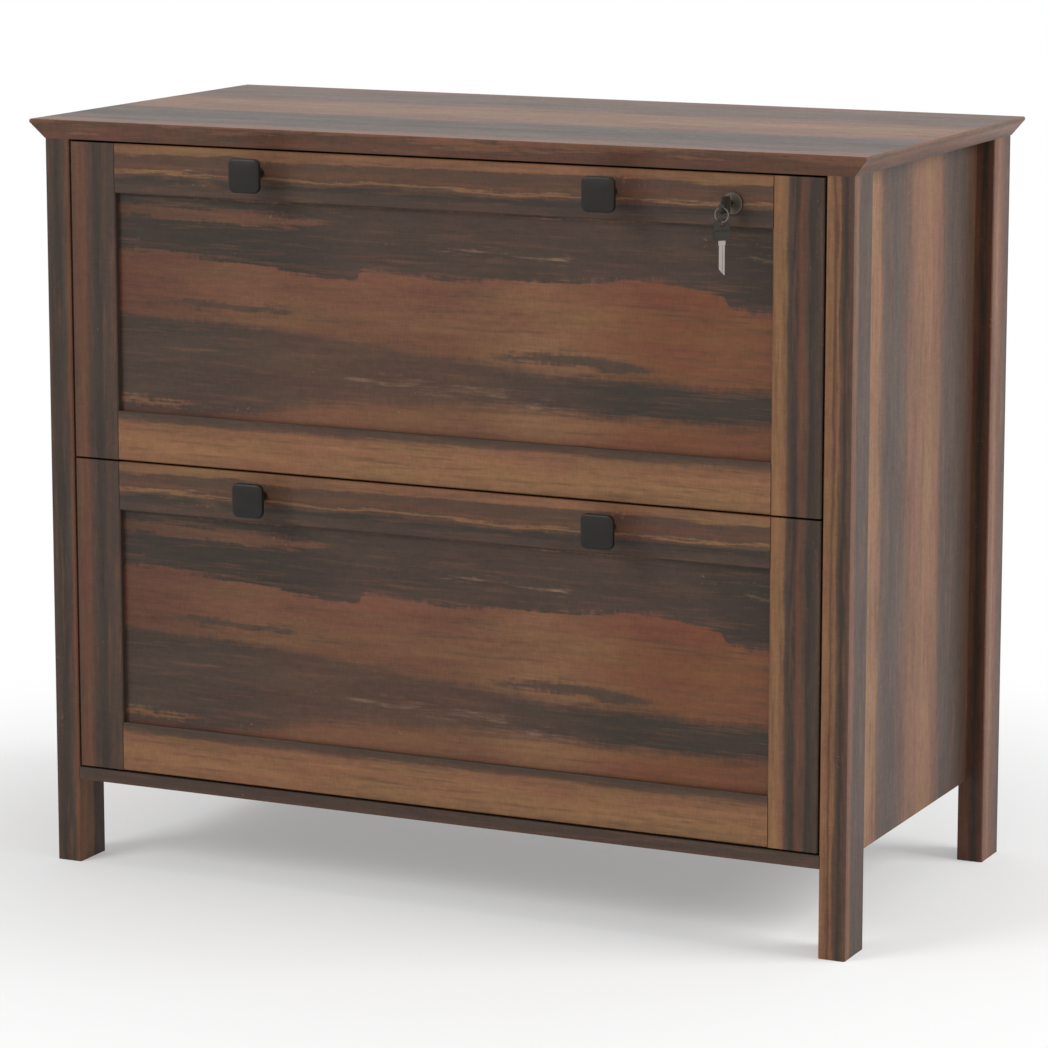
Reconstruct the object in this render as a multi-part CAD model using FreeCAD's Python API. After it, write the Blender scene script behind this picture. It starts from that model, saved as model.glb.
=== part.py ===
import FreeCAD, Part
import os
from math import cos, hypot, radians, sin, sqrt

# Two-drawer lateral file cabinet, in millimetres.
# +X is the viewer's right, +Y runs to the back, +Z is up and the floor is Z = 0.
# A depth is counted from the posts' front faces towards the back.

V = FreeCAD.Vector

# Body
BODY_W = 802.0            # over the posts
BODY_D = 408.0
POST_H = 690.0
POST_W = 25.0
POST_D = 45.0
EASE = 1.0                # eased edges of boards

# Top board, bevelled below at the front and sides
TOP_T = 18.0
TOP_LAND = 3.0            # upright edge above the bevel
TOP_SIDE_OVER = 13.0
TOP_FRONT_OVER = 6.0
TOP_BACK_OVER = 2.0

# Side, bottom and back boards
SIDE_T = 15.0
SIDE_RECESS = 17.0        # behind the posts' outer faces
SIDE_Z = 78.0
BOTTOM_T = 12.0
BOTTOM_Z = 81.0
BACK_T = 5.0
BACK_INSET = 10.0
BACK_GROOVE = 6.0

# Drawer fronts
GAP = 2.0                 # shadow gap around each front
FRONT_T = 18.0
STILE_W = 47.0
RAIL_H = 46.0
PANEL_T = 6.0
PANEL_RECESS = 6.0
PANEL_TONGUE = 8.0        # depth of the frame's groove

# Drawer boxes
BOX_D = 350.0
BOX_T = 12.0
BOX_LIFT = 8.0            # above the front's lower edge
BOX_DROP = 33.5           # below the front's upper edge
BASE_T = 5.0
BASE_LIFT = 6.0
BASE_GROOVE = 6.0

# Folder bars, spaced for letter folders
BAR_T = 3.0
BAR_H = 15.0
BAR_FRONT = 18.0          # behind the drawer front
BAR_BACK = 9.0            # in front of the drawer back
BAR_SEAT = 8.0

# Telescopic slides
SLIDE_L = 300.0
SLIDE_START = 47.0
SLIDE_T = 12.7
SLIDE_LIFT = 68.0         # centre line above the front's lower edge
SLIDE_GAUGE = 1.2
OUTER_HALF = 22.5
OUTER_LIP = 9.5
MIDDLE_HALF = 17.0
MIDDLE_WEB = 2.2
MIDDLE_LIP = 11.0
INNER_HALF = 11.0
INNER_LIP = 4.6
CAGE_L = 150.0
CAGE_OFFSET = 75.0
CAGE_W = 4.4
CAGE_PLAY = 0.3

# Knobs
KNOB_INSET = 152.0        # from the stile's inner edge
KNOB_RISE = 2.5           # above the rail's centre line
KNOB_W = 31.5
KNOB_CORNER = 6.0
KNOB_REACH = 31.0
KNOB_HEAD_T = 8.5
KNOB_BEVEL = 2.0          # around the face
KNOB_BACK_BEVEL = 4.5     # draws the head in towards its stem
KNOB_FOOT_R = 5.2
KNOB_FOOT_T = 2.0
KNOB_STEM_R = 4.3
SCREW_D = 4.0
SCREW_HEAD_D = 8.0
SCREW_HEAD_T = 2.5
SCREW_PLAY = 0.05
SCREW_BITE = 12.0

# Lock
LOCK_INSET = 38.0         # from the stile's inner edge
LOCK_DROP = 2.5           # below the rail's centre line
BEZEL_D = 20.0
BEZEL_T = 2.5
BARREL_D = 16.0
BARREL_L = 26.0
PLUG_D = 11.0
PLUG_HEAD_D = 14.0
PLUG_HEAD_T = 1.7
PLUG_PLAY = 0.08
AXIAL_PLAY = 0.1
NUT_AF = 22.0
NUT_T = 3.0
CAM_T = 2.0
CAM_REACH = 23.0
CAM_HUB_R = 8.0
CAM_TIP_R = 6.0
CAM_GAP = 0.3
TAIL_W = 7.0
STRIKE_T = 1.5
STRIKE_W = 30.0
STRIKE_DROP = 15.0
STRIKE_FOOT = 20.0
STRIKE_GAP = 0.5          # in front of the turning cam
STRIKE_SCREW_R = 1.5
STRIKE_SCREW_L = 12.0

# Keys
BLADE_L = 30.0
BLADE_W = 5.4
BLADE_T = 2.0
BLADE_GROOVE = 0.5
COLLAR_W = 6.6
COLLAR_L = 4.0
TANG_L = 6.0
BOW_W = 14.6
BOW_L = 19.5
BOW_T = 4.0
EYE_T = 2.2
EYE_R = 3.0
EYE_RIM = 1.9             # material beyond the eye, at the bow's end
EYE_REACH = 23.5          # eye in front of the posts' faces
KEY_PLAY = 0.2
RING_R = 6.0
RING_WIRE = 1.3
RING_EASE = 0.35
RING_PLAY = 0.15
SPARE_YAW = 135.0         # the spare key's face, turned from the ring's plane
SPARE_HANG = 1.4          # ring wire above the spare key's eye centre

# Places that follow from the sizes
TOTAL_D = KNOB_REACH + BODY_D + TOP_BACK_OVER
FRONT_Y = KNOB_REACH - TOTAL_D / 2
BACK_Y = FRONT_Y + BODY_D
TOP_Z = POST_H + TOP_T
POST_OUT = BODY_W / 2
POST_IN = POST_OUT - POST_W
SIDE_OUT = POST_OUT - SIDE_RECESS
SIDE_IN = SIDE_OUT - SIDE_T
FLOOR_Z = BOTTOM_Z + BOTTOM_T
FRONT_W = 2 * (POST_IN - GAP)
FRONT_H = (POST_H - FLOOR_Z - 3 * GAP) / 2
LOWER_Z = FLOOR_Z + GAP
UPPER_Z = LOWER_Z + FRONT_H + GAP
RAIL_X = FRONT_W / 2 - STILE_W
BOX_OUT = SIDE_IN - SLIDE_T
BOX_IN = BOX_OUT - BOX_T
BOX_H = FRONT_H - BOX_LIFT - BOX_DROP
BAR_DEPTHS = (FRONT_T + BAR_FRONT, FRONT_T + BOX_D - BOX_T - BAR_BACK)
KNOB_X = RAIL_X - KNOB_INSET
LOCK_X = RAIL_X - LOCK_INSET
LOCK_Z = UPPER_Z + FRONT_H - RAIL_H / 2 - LOCK_DROP
CAM_DEPTH = BARREL_L + CAM_GAP
STRIKE_BACK = CAM_DEPTH - STRIKE_GAP
RING_IN = RING_R - RING_WIRE / 2

os.makedirs("parts", exist_ok=True)


def at(depth):
    """Y of a depth behind the posts' front faces."""
    return FRONT_Y + depth


def save(name, *solids):
    """Write one node, whatever number of solids it holds."""
    shape = solids[0] if len(solids) == 1 else Part.makeCompound(list(solids))
    shape.exportStep("parts/" + name + ".step")


def block(x, y, z):
    """Board between three pairs of limits."""
    return Part.makeBox(x[1] - x[0], y[1] - y[0], z[1] - z[0], V(x[0], y[0], z[0]))


def prism(outline, axis, start, end):
    """Straight extrusion of a closed outline that lies across an axis."""
    if axis == "X":
        points = [V(start, u, v) for u, v in outline]
    elif axis == "Y":
        points = [V(u, start, v) for u, v in outline]
    else:
        points = [V(u, v, start) for u, v in outline]
    run = {"X": V(1, 0, 0), "Y": V(0, 1, 0), "Z": V(0, 0, 1)}[axis] * (end - start)
    return Part.Face(Part.makePolygon(points + points[:1])).extrude(run)


def turned(profile, x, z):
    """Revolve (radius, depth) points about a fore-and-aft line."""
    points = [V(x + r, at(d), z) for r, d in profile]
    face = Part.Face(Part.makePolygon(points + points[:1]))
    return face.revolve(V(x, 0, z), V(0, 1, 0), 360)


def drill(radius, x, z, start, end):
    """Round hole or rod between two depths."""
    return Part.makeCylinder(radius, end - start, V(x, at(start), z), V(0, 1, 0))


def mirrored(shape):
    """The left-hand twin of a right-hand piece."""
    return shape.mirror(V(0, 0, 0), V(1, 0, 0))


def eased(u0, u1, v0, v1, ease=EASE):
    """Rectangle with its four corners taken off."""
    return [(u0 + ease, v0), (u1 - ease, v0), (u1, v0 + ease), (u1, v1 - ease),
            (u1 - ease, v1), (u0 + ease, v1), (u0, v1 - ease), (u0, v0 + ease)]


def rounded_square(width, radius, x, y, z, facets=4):
    """Square wire facing the front, each corner rounded in short facets."""
    h = width / 2 - radius
    points = []
    for quarter, (sx, sz) in enumerate([(1, 1), (-1, 1), (-1, -1), (1, -1)]):
        for i in range(facets + 1):
            angle = radians(90 * (quarter + i / facets))
            points.append(V(x + sx * h + radius * cos(angle), y, z + sz * h + radius * sin(angle)))
    return Part.makePolygon(points + points[:1])


def edges_at(shape, y):
    """Edges that lie wholly at one Y."""
    return [e for e in shape.Edges if abs(e.BoundBox.YMin - y) < 0.01 and abs(e.BoundBox.YMax - y) < 0.01]


# Carcass

def top_panel():
    """Top board: two crossing profiles give the bevel its mitred corners."""
    side = POST_OUT + TOP_SIDE_OVER
    front = FRONT_Y - TOP_FRONT_OVER
    back = BACK_Y + TOP_BACK_OVER
    land = TOP_Z - TOP_LAND
    across = [(-POST_OUT, POST_H), (POST_OUT, POST_H), (side, land), (side, TOP_Z - EASE),
              (side - EASE, TOP_Z), (EASE - side, TOP_Z), (-side, TOP_Z - EASE), (-side, land)]
    along = [(front, land), (FRONT_Y, POST_H), (back, POST_H), (back, TOP_Z - EASE),
             (back - EASE, TOP_Z), (front + EASE, TOP_Z), (front, TOP_Z - EASE)]
    board = prism(across, "Y", front, back)
    return board.common(prism(along, "X", -side, side))


def front_post():
    outline = eased(POST_IN, POST_OUT, FRONT_Y, FRONT_Y + POST_D)
    return prism(outline, "Z", 0, POST_H)


def rear_post():
    """Rear post, grooved on its inner face for the back board."""
    y0 = BACK_Y - POST_D
    groove1 = BACK_Y - BACK_INSET
    groove0 = groove1 - BACK_T
    bed = POST_IN + BACK_GROOVE
    outline = eased(POST_IN, POST_OUT, y0, BACK_Y)
    outline[7:7] = [(POST_IN, groove1), (bed, groove1), (bed, groove0), (POST_IN, groove0)]
    return prism(outline, "Z", 0, POST_H)


def side_panel():
    outline = [(SIDE_IN + EASE, SIDE_Z), (SIDE_OUT - EASE, SIDE_Z), (SIDE_OUT, SIDE_Z + EASE),
               (SIDE_OUT, POST_H), (SIDE_IN, POST_H), (SIDE_IN, SIDE_Z + EASE)]
    return prism(outline, "Y", FRONT_Y + POST_D, BACK_Y - POST_D)


def bottom_panel():
    """Bottom board, notched so that it fills the space between posts and sides."""
    front = FRONT_Y + POST_D
    rear = BACK_Y - POST_D
    back = BACK_Y - BACK_INSET - BACK_T
    half = [(POST_IN, FRONT_Y), (POST_IN, front), (SIDE_IN, front),
            (SIDE_IN, rear), (POST_IN, rear), (POST_IN, back)]
    outline = half + [(-x, y) for x, y in reversed(half)]
    return prism(outline, "Z", BOTTOM_Z, FLOOR_Z)


def back_panel():
    edge = POST_IN + BACK_GROOVE
    y1 = BACK_Y - BACK_INSET
    return block((-edge, edge), (y1 - BACK_T, y1), (SIDE_Z, POST_H))


# Slides. A section is given by its reach from the side panel and its height
# about the slide's centre line.

def channel(web, lip, half):
    """C-shaped section, from the back of its web to the edge of its lips."""
    g = SLIDE_GAUGE
    bed = web + g if lip > web else web - g
    return [(web, -half), (lip, -half), (lip, g - half), (bed, g - half),
            (bed, half - g), (lip, half - g), (lip, half), (web, half)]


def slide_member(section, z):
    """Right-hand and left-hand channels of one drawer's slides."""
    outline = [(SIDE_IN - u, z + w) for u, w in section]
    right = prism(outline, "Y", at(SLIDE_START), at(SLIDE_START + SLIDE_L))
    return right, mirrored(right)


def ball_cage(low, high, reach, z):
    """Closed ball retainers between two pairs of lips, above and below centre."""
    start = SLIDE_START + CAGE_OFFSET
    x = SIDE_IN - reach
    strips = []
    for sign in (1, -1):
        limits = sorted((z + sign * (low + CAGE_PLAY), z + sign * (high - CAGE_PLAY)))
        outline = eased(x - CAGE_W / 2, x + CAGE_W / 2, *limits)
        strips.append(prism(outline, "Y", at(start), at(start + CAGE_L)))
    return strips + [mirrored(s) for s in strips]


def slides(name, z0):
    """Both telescopic slides of the drawer whose front starts at z0."""
    z = z0 + SLIDE_LIFT
    g = SLIDE_GAUGE
    save(name + "_slide_outers", *slide_member(channel(0, OUTER_LIP, OUTER_HALF), z))
    save(name + "_slide_middles", *slide_member(channel(MIDDLE_WEB, MIDDLE_LIP, MIDDLE_HALF), z))
    save(name + "_slide_inners", *slide_member(channel(SLIDE_T, INNER_LIP, INNER_HALF), z))
    outer_run = (MIDDLE_WEB + g + OUTER_LIP) / 2
    inner_run = (INNER_LIP + MIDDLE_LIP) / 2
    save(name + "_outer_ball_cages", *ball_cage(MIDDLE_HALF, OUTER_HALF - g, outer_run, z))
    save(name + "_inner_ball_cages", *ball_cage(INNER_HALF, MIDDLE_HALF - g, inner_run, z))


# Drawer fronts

def stile(z0):
    """Right-hand stile, grooved for the panel and the rails' stub tenons."""
    x0 = RAIL_X
    x1 = FRONT_W / 2
    back = at(FRONT_T)
    groove0 = at(PANEL_RECESS)
    groove1 = at(PANEL_RECESS + PANEL_T)
    bed = x0 + PANEL_TONGUE
    outline = [(x0 + EASE, FRONT_Y), (x1 - EASE, FRONT_Y), (x1, FRONT_Y + EASE), (x1, back),
               (x0, back), (x0, groove1), (bed, groove1), (bed, groove0), (x0, groove0),
               (x0, FRONT_Y + EASE)]
    return prism(outline, "Z", z0, z0 + FRONT_H)


def rail(edge, sign):
    """Rail from its outer edge inwards: sign is +1 for a bottom rail, -1 for a top one."""
    back = at(FRONT_T)
    groove0 = at(PANEL_RECESS)
    groove1 = at(PANEL_RECESS + PANEL_T)
    inner = edge + sign * RAIL_H
    bed = inner - sign * PANEL_TONGUE
    outline = [(FRONT_Y + EASE, edge), (back, edge), (back, inner), (groove1, inner), (groove1, bed),
               (groove0, bed), (groove0, inner), (FRONT_Y + EASE, inner),
               (FRONT_Y, inner - sign * EASE), (FRONT_Y, edge + sign * EASE)]
    body = prism(outline, "X", -RAIL_X, RAIL_X)
    tenon_x = RAIL_X + PANEL_TONGUE
    tenon = block((-tenon_x, tenon_x), (groove0, groove1), (min(edge, bed), max(edge, bed)))
    return body.fuse(tenon).removeSplitter()


def front_panel(z0):
    """Thin panel held in the frame's grooves."""
    x = RAIL_X + PANEL_TONGUE
    low = z0 + RAIL_H - PANEL_TONGUE
    high = z0 + FRONT_H - RAIL_H + PANEL_TONGUE
    return block((-x, x), (at(PANEL_RECESS), at(PANEL_RECESS + PANEL_T)), (low, high))


def knob(x, z):
    """Square knob: a round stem on a foot, under a head bevelled at its face and its back."""
    face = -KNOB_REACH
    back = face + KNOB_HEAD_T
    stem = [(0, 0), (KNOB_FOOT_R, 0), (KNOB_FOOT_R, -KNOB_FOOT_T), (KNOB_STEM_R, -KNOB_FOOT_T),
            (KNOB_STEM_R, back), (0, back)]
    outline = Part.Face(rounded_square(KNOB_W, KNOB_CORNER, x, at(face), z))
    head = outline.extrude(V(0, KNOB_HEAD_T, 0))
    head = head.makeChamfer(KNOB_BEVEL, edges_at(head, at(face)))
    head = head.makeChamfer(KNOB_BACK_BEVEL, edges_at(head, at(back)))
    hole = drill(SCREW_D / 2 + SCREW_PLAY, x, z, -SCREW_BITE - 1, 1)
    return head.fuse(turned(stem, x, z)).removeSplitter().cut(hole)


def screw(x, z):
    """Pan-head screw from the back of a rail into the knob."""
    head = FRONT_T + SCREW_HEAD_T
    profile = [(0, -SCREW_BITE), (SCREW_D / 2, -SCREW_BITE), (SCREW_D / 2, FRONT_T),
               (SCREW_HEAD_D / 2, FRONT_T), (SCREW_HEAD_D / 2, head), (0, head)]
    return turned(profile, x, z)


# Drawer boxes

def box_side(z0):
    """Right-hand side, grooved for the base and notched for the folder bars."""
    low = z0 + BOX_LIFT
    high = low + BOX_H
    base0 = low + BASE_LIFT
    base1 = base0 + BASE_T
    bed = BOX_IN + BASE_GROOVE
    outline = [(BOX_IN, low), (BOX_OUT, low), (BOX_OUT, high - EASE), (BOX_OUT - EASE, high),
               (BOX_IN + EASE, high), (BOX_IN, high - EASE), (BOX_IN, base1), (bed, base1),
               (bed, base0), (BOX_IN, base0)]
    side = prism(outline, "Y", at(FRONT_T), at(FRONT_T + BOX_D))
    for depth in BAR_DEPTHS:
        side = side.cut(block((BOX_IN - 1, BOX_IN + BAR_SEAT),
                              (at(depth - BAR_T / 2), at(depth + BAR_T / 2)),
                              (high - BAR_H, high + 1)))
    return side


def folder_bar(depth, z0):
    """Flat bar on edge, with a round top for the folder hooks."""
    x = BOX_IN + BAR_SEAT
    high = z0 + BOX_LIFT + BOX_H
    low = high - BAR_H
    r = BAR_T / 2
    y = at(depth)
    corners = [V(-x, y - r, high - r), V(-x, y - r, low), V(-x, y + r, low), V(-x, y + r, high - r)]
    top = Part.Arc(corners[3], V(-x, y, high), corners[0]).toShape()
    wire = Part.Wire([*Part.makePolygon(corners).Edges, top])
    return Part.Face(wire).extrude(V(2 * x, 0, 0))


def drawer(name, z0, extra_holes):
    """One drawer with its front at z0; extra holes go through its top rail."""
    top = z0 + FRONT_H
    knob_z = top - RAIL_H / 2 + KNOB_RISE
    box_low = z0 + BOX_LIFT
    base_low = box_low + BASE_LIFT
    base = block((-BOX_IN - BASE_GROOVE, BOX_IN + BASE_GROOVE),
                 (at(FRONT_T - BASE_GROOVE), at(FRONT_T + BOX_D)), (base_low, base_low + BASE_T))
    back = block((-BOX_IN, BOX_IN), (at(FRONT_T + BOX_D - BOX_T), at(FRONT_T + BOX_D)),
                 (base_low + BASE_T, box_low + BOX_H))

    top_rail = rail(top, -1)
    for hole in extra_holes:
        top_rail = top_rail.cut(hole)
    for x in (-KNOB_X, KNOB_X):
        top_rail = top_rail.cut(drill(SCREW_D / 2 + SCREW_PLAY, x, knob_z, -1, FRONT_T + 1))

    right_stile = stile(z0).cut(base)
    right_side = box_side(z0)
    save(name + "_stile_right", right_stile)
    save(name + "_stile_left", mirrored(right_stile))
    save(name + "_top_rail", top_rail)
    save(name + "_bottom_rail", rail(z0, 1).cut(base))
    save(name + "_front_panel", front_panel(z0))
    save(name + "_box_side_right", right_side)
    save(name + "_box_side_left", mirrored(right_side))
    save(name + "_box_back", back)
    save(name + "_box_base", base)
    save(name + "_folder_bars", *[folder_bar(depth, z0) for depth in BAR_DEPTHS])
    save(name + "_knob_left", knob(-KNOB_X, knob_z))
    save(name + "_knob_right", knob(KNOB_X, knob_z))
    save(name + "_knob_screws", screw(-KNOB_X, knob_z), screw(KNOB_X, knob_z))
    slides(name, z0)


# Lock

def lock_body():
    """Housing with its bezel, bored for the plug."""
    bezel = BEZEL_D / 2
    barrel = BARREL_D / 2
    bore = PLUG_D / 2 + PLUG_PLAY
    mouth = PLUG_HEAD_D / 2 + PLUG_PLAY
    seat = PLUG_HEAD_T - BEZEL_T + AXIAL_PLAY
    profile = [(mouth, -BEZEL_T), (bezel - 0.8, -BEZEL_T), (bezel, 0.8 - BEZEL_T), (bezel, 0),
               (barrel, 0), (barrel, BARREL_L), (bore, BARREL_L), (bore, seat), (mouth, seat)]
    return turned(profile, LOCK_X, LOCK_Z)


def lock_nut():
    """Hexagon nut that clamps the housing to the rail."""
    corner = NUT_AF / 2 / cos(radians(30))
    hexagon = [(LOCK_X + corner * cos(radians(60 * i)), LOCK_Z + corner * sin(radians(60 * i)))
               for i in range(6)]
    nut = prism(hexagon, "Y", at(FRONT_T), at(FRONT_T + NUT_T))
    return nut.cut(drill(BARREL_D / 2 + SCREW_PLAY, LOCK_X, LOCK_Z, FRONT_T - 1, FRONT_T + NUT_T + 1))


def square_tail():
    """Square driver at the plug's rear end, which carries the cam."""
    h = TAIL_W / 2
    return block((LOCK_X - h, LOCK_X + h), (at(BARREL_L), at(CAM_DEPTH + CAM_T)), (LOCK_Z - h, LOCK_Z + h))


def lock_plug():
    """Turning plug with its keyway and its square tail."""
    head = PLUG_HEAD_D / 2
    shank = PLUG_D / 2
    seat = PLUG_HEAD_T - BEZEL_T
    profile = [(0, -BEZEL_T), (head, -BEZEL_T), (head, seat), (shank, seat), (shank, BARREL_L), (0, BARREL_L)]
    plug = turned(profile, LOCK_X, LOCK_Z).fuse(square_tail())
    slot_x = BLADE_T / 2 + KEY_PLAY
    slot_z = BLADE_W / 2 + KEY_PLAY
    tip = key_depth(BLADE_L + BOW_L) + 1.0
    keyway = block((LOCK_X - slot_x, LOCK_X + slot_x), (at(-BEZEL_T - 1), at(tip)),
                   (LOCK_Z - slot_z, LOCK_Z + slot_z))
    bite = drill(SCREW_D / 2 - 0.5 + SCREW_PLAY, LOCK_X, LOCK_Z, tip + 1, CAM_DEPTH + CAM_T + 1)
    return plug.cut(keyway).cut(bite)


def lock_cam():
    """Cam that points to the left when unlocked and turns up behind the strike."""
    y = at(CAM_DEPTH)
    tip = CAM_REACH - CAM_TIP_R
    hub_top = V(LOCK_X, y, LOCK_Z + CAM_HUB_R)
    hub_low = V(LOCK_X, y, LOCK_Z - CAM_HUB_R)
    tip_top = V(LOCK_X - tip, y, LOCK_Z + CAM_TIP_R)
    tip_low = V(LOCK_X - tip, y, LOCK_Z - CAM_TIP_R)
    hub = Part.Arc(hub_low, V(LOCK_X + CAM_HUB_R, y, LOCK_Z), hub_top).toShape()
    end = Part.Arc(tip_top, V(LOCK_X - CAM_REACH, y, LOCK_Z), tip_low).toShape()
    wire = Part.Wire([hub, Part.makeLine(hub_top, tip_top), end, Part.makeLine(tip_low, hub_low)])
    return Part.Face(wire).extrude(V(0, CAM_T, 0)).cut(square_tail())


def cam_screw():
    """Screw that holds the cam on the plug's tail."""
    shank = SCREW_D / 2 - 0.5
    head = CAM_DEPTH + CAM_T
    start = key_depth(BLADE_L + BOW_L) + 2.5
    profile = [(0, start), (shank, start), (shank, head), (SCREW_HEAD_D / 2, head),
               (SCREW_HEAD_D / 2, head + 2.0), (0, head + 2.0)]
    return turned(profile, LOCK_X, LOCK_Z)


def strike_places():
    """X of the two strike screws."""
    return LOCK_X - STRIKE_W / 4, LOCK_X + STRIKE_W / 4


def strike_screws():
    """Two screws up through the strike's foot into the top board."""
    depth = STRIKE_BACK + STRIKE_FOOT * 0.55
    foot = POST_H - STRIKE_T
    solids = []
    for x in strike_places():
        profile = [(0, foot - 1.6), (2.8, foot - 1.6), (2.8, foot), (STRIKE_SCREW_R, foot),
                   (STRIKE_SCREW_R, foot + STRIKE_SCREW_L), (0, foot + STRIKE_SCREW_L)]
        points = [V(x + r, at(depth), z) for r, z in profile]
        face = Part.Face(Part.makePolygon(points + points[:1]))
        solids.append(face.revolve(V(x, at(depth), 0), V(0, 0, 1), 360))
    return solids


def strike_holes():
    """Clearance for the strike screws, through the foot and into the top board."""
    depth = STRIKE_BACK + STRIKE_FOOT * 0.55
    start = POST_H - STRIKE_T - 1
    return [Part.makeCylinder(STRIKE_SCREW_R + SCREW_PLAY, STRIKE_SCREW_L + 2, V(x, at(depth), start))
            for x in strike_places()]


def lock_strike():
    """Angle plate under the top board, just in front of the cam's path."""
    leg = STRIKE_BACK - STRIKE_T
    outline = [(at(leg), POST_H), (at(leg), POST_H - STRIKE_DROP), (at(STRIKE_BACK), POST_H - STRIKE_DROP),
               (at(STRIKE_BACK), POST_H - STRIKE_T), (at(leg + STRIKE_FOOT), POST_H - STRIKE_T),
               (at(leg + STRIKE_FOOT), POST_H)]
    plate = prism(outline, "X", LOCK_X - STRIKE_W / 2, LOCK_X + STRIKE_W / 2)
    for hole in strike_holes():
        plate = plate.cut(hole)
    return plate


# Keys, made about the eye's centre: the blade runs along +Y, the bow lies across X.

def key_depth(length):
    """Depth that a point of the inserted key reaches, from the bow's far end."""
    return length - EYE_R - EYE_RIM - EYE_REACH


def key_blade():
    """Steel blade with a collar, a milled groove on each side and a slanted tip."""
    bow_end = BOW_L - EYE_R - EYE_RIM
    tip = bow_end + BLADE_L
    w = BLADE_W / 2
    c = COLLAR_W / 2
    outline = [(bow_end - TANG_L, -w), (bow_end, -w), (bow_end, -c), (bow_end + COLLAR_L, -c),
               (bow_end + COLLAR_L, -w), (tip, -w), (tip, 0.4 - w), (tip - BLADE_W, w),
               (bow_end + COLLAR_L, w), (bow_end + COLLAR_L, c), (bow_end, c), (bow_end, w),
               (bow_end - TANG_L, w)]
    blade = prism(outline, "X", -BLADE_T / 2, BLADE_T / 2)
    for side in (-1, 1):
        low, high = sorted((side * BLADE_T, side * (BLADE_T / 2 - BLADE_GROOVE)))
        blade = blade.cut(block((low, high), (bow_end + COLLAR_L, tip + 1), (-0.8, 0.8)))
    return blade


def key_bow():
    """Moulded bow: round end thinned about the eye, square shoulders at the blade."""
    w = BOW_W / 2
    far = -EYE_R - EYE_RIM
    bow_end = far + BOW_L
    centre = far + w
    corner = 3.0
    k = corner * (1 - sqrt(0.5))
    x = -BOW_T / 2
    edges = [Part.Arc(V(x, centre, w), V(x, far, 0), V(x, centre, -w)).toShape(),
             Part.makeLine(V(x, centre, -w), V(x, bow_end - corner, -w)),
             Part.Arc(V(x, bow_end - corner, -w), V(x, bow_end - k, k - w), V(x, bow_end, corner - w)).toShape(),
             Part.makeLine(V(x, bow_end, corner - w), V(x, bow_end, w - corner)),
             Part.Arc(V(x, bow_end, w - corner), V(x, bow_end - k, w - k), V(x, bow_end - corner, w)).toShape(),
             Part.makeLine(V(x, bow_end - corner, w), V(x, centre, w))]
    bow = Part.Face(Part.Wire(edges)).extrude(V(BOW_T, 0, 0))
    step = bow_end - TANG_L - 2.0
    for side in (-1, 1):
        low, high = sorted((side * BOW_T, side * EYE_T / 2))
        bow = bow.cut(prism([(low, far - 1), (high, far - 1), (high, step), (low, step)], "Z", -w - 1, w + 1))
    bow = bow.cut(Part.makeCylinder(EYE_R, BOW_T + 2, V(-BOW_T / 2 - 1, 0, 0), V(1, 0, 0)))
    tang = block((-BLADE_T / 2, BLADE_T / 2), (bow_end - TANG_L, bow_end + 1), (-BLADE_W / 2, BLADE_W / 2))
    return bow.cut(tang)


def rim_span():
    """Lowest and highest point of the bow's rim where the ring runs round it."""
    wire = RING_WIRE / 2
    centre = BOW_W / 2 - EYE_R - EYE_RIM
    low = -sqrt((BOW_W / 2) ** 2 - (centre - wire) ** 2)
    high = -sqrt(EYE_R ** 2 - wire ** 2)
    return low, high


def ring_centre():
    """Centre of the ring, hanging on the rim below the eye."""
    low, high = rim_span()
    swing = RING_IN - RING_PLAY - hypot((high - low) / 2, EYE_T / 2)
    return V(LOCK_X, at(-EYE_REACH), LOCK_Z + (low + high) / 2 - swing)


def inserted(shape):
    """Place a key piece in the lock."""
    return shape.translated(V(LOCK_X, at(-EYE_REACH), LOCK_Z))


def hanging(shape):
    """Place a key piece on the ring, blade down."""
    turn = FreeCAD.Rotation(V(0, 0, 1), SPARE_YAW).multiply(FreeCAD.Rotation(V(1, 0, 0), -90))
    spot = ring_centre() - V(0, 0, RING_R + SPARE_HANG)
    placed = shape.copy()
    placed.Placement = FreeCAD.Placement(spot, turn)
    return placed


def key_ring():
    """Flat-wire ring, turned about its own centre."""
    centre = ring_centre()
    w = RING_WIRE / 2
    section = eased(RING_R - w, RING_R + w, -w, w, RING_EASE)
    points = [centre + V(r, y, 0) for r, y in section]
    return Part.Face(Part.makePolygon(points + points[:1])).revolve(centre, V(0, 1, 0), 360)


# Nodes

top = top_panel()
for hole in strike_holes():
    top = top.cut(hole)
save("top_panel", top)
save("front_post_right", front_post())
save("front_post_left", mirrored(front_post()))
save("rear_post_right", rear_post())
save("rear_post_left", mirrored(rear_post()))
save("side_panel_right", side_panel())
save("side_panel_left", mirrored(side_panel()))
save("bottom_panel", bottom_panel())
save("back_panel", back_panel())

lock_hole = drill(BARREL_D / 2 + SCREW_PLAY, LOCK_X, LOCK_Z, -1, FRONT_T + 1)
drawer("upper", UPPER_Z, [lock_hole])
drawer("lower", LOWER_Z, [])

save("lock_body", lock_body())
save("lock_nut", lock_nut())
save("lock_plug", lock_plug())
save("lock_cam", lock_cam())
save("lock_cam_screw", cam_screw())
save("lock_strike", lock_strike())
save("strike_screws", *strike_screws())

save("key_blade", inserted(key_blade()))
save("key_bow", inserted(key_bow()))
save("key_ring", key_ring())
save("spare_key_blade", hanging(key_blade()))
save("spare_key_bow", hanging(key_bow()))
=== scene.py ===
import math

import bmesh
import bpy
from mathutils import Matrix, Vector


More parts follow.
